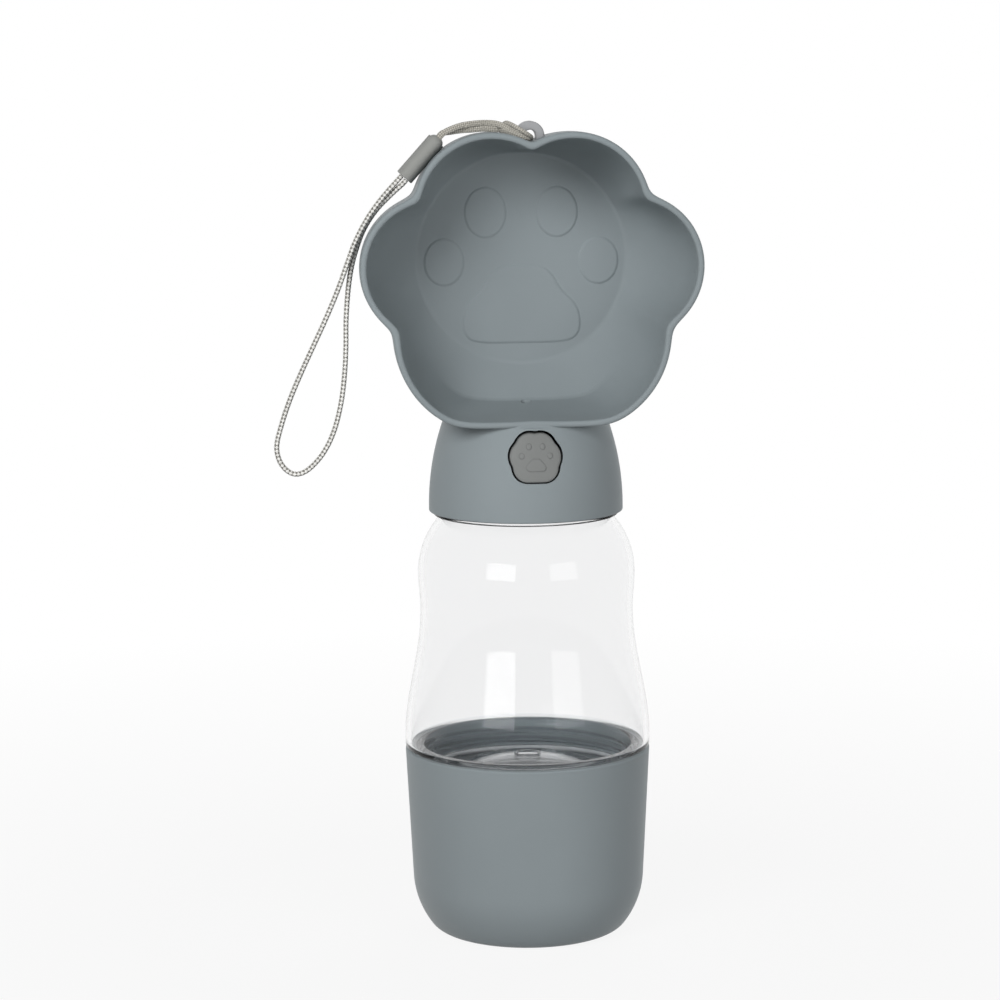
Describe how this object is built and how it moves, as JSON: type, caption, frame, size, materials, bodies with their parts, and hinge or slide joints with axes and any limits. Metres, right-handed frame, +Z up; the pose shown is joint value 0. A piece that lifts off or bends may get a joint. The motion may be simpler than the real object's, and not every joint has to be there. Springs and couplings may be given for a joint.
{
  "type": "dog travel water bottle",
  "caption": "Travel water bottle for a dog: a clear ribbed body with a screw-on food cup below and a push-button drinking bowl with paw-shaped rim above, on a wrist cord.",
  "frame": {"origin": "centre of the food cup's foot, on the ground", "axes": "+Z up along the bottle; the drinking bowl and the push button face -Y; +X is the bowl's right-hand side seen from behind it, that is to the right in the picture"},
  "size_m": [0.1303, 0.0766, 0.2535],
  "materials": {
    "shell": "satin moulded plastic, cool grey",
    "clear_body": "clear, polished",
    "inner_white": "white moulded plastic",
    "button": "soft matte, warm grey",
    "seal": "translucent silicone",
    "steel": "plain stainless",
    "flat_cord": "fine ribbed braid",
    "woven_cord": "woven in white and grey",
    "bead": "smooth matte, warm grey"
  },
  "bodies": {
    "cup": {"food_cup": "shell"},
    "cup_seal": {"cup_gasket": "seal"},
    "bottle": {"bottle": "clear_body"},
    "neck_seal": {"neck_gasket": "seal"},
    "head": {"threaded_cap": "inner_white", "valve_collar": "shell", "drinking_bowl": "shell", "valve_barrel": "inner_white", "barrel_plug": "inner_white", "plug_o_ring": "seal", "inlet_gasket": "seal", "outlet_gasket": "seal", "valve_screws": "steel", "hitch_cord": "flat_cord", "wrist_cord": "woven_cord", "bead_front": "bead", "bead_back": "bead"},
    "button": {"button": "button", "plunger": "inner_white", "stem_o_ring": "seal", "seat_washer": "seal", "plunger_clip": "steel", "return_spring": "steel"}
  },
  "joints": [
    {"name": "cup_lift", "type": "slide", "parent": "cup", "child": "cup_seal", "axis": [0, 0, 1], "range_m": [0, 0.009]},
    {"name": "cup_turn", "type": "hinge", "parent": "cup_seal", "child": "bottle", "pos_m": [0, 0, 0.0515], "axis": [0, 0, 1], "range_deg": [0, 1080]},
    {"name": "neck_lift", "type": "slide", "parent": "bottle", "child": "neck_seal", "axis": [0, 0, 1], "range_m": [0, 0.008]},
    {"name": "head_turn", "type": "hinge", "parent": "neck_seal", "child": "head", "pos_m": [0, 0, 0.1415], "axis": [0, 0, 1], "range_deg": [0, 360]},
    {"name": "button_press", "type": "slide", "parent": "head", "child": "button", "axis": [0, 1, 0], "range_m": [0, 0.0025], "stiffness_N_per_m": 800, "springref_m": -0.002, "deforming": ["return_spring"]}
  ],
  "couplings": [
    {"joint": "cup_lift", "follows": "cup_turn", "m_per_rad": 0.00047746},
    {"joint": "neck_lift", "follows": "head_turn", "m_per_rad": 0.0012732}
  ]
}
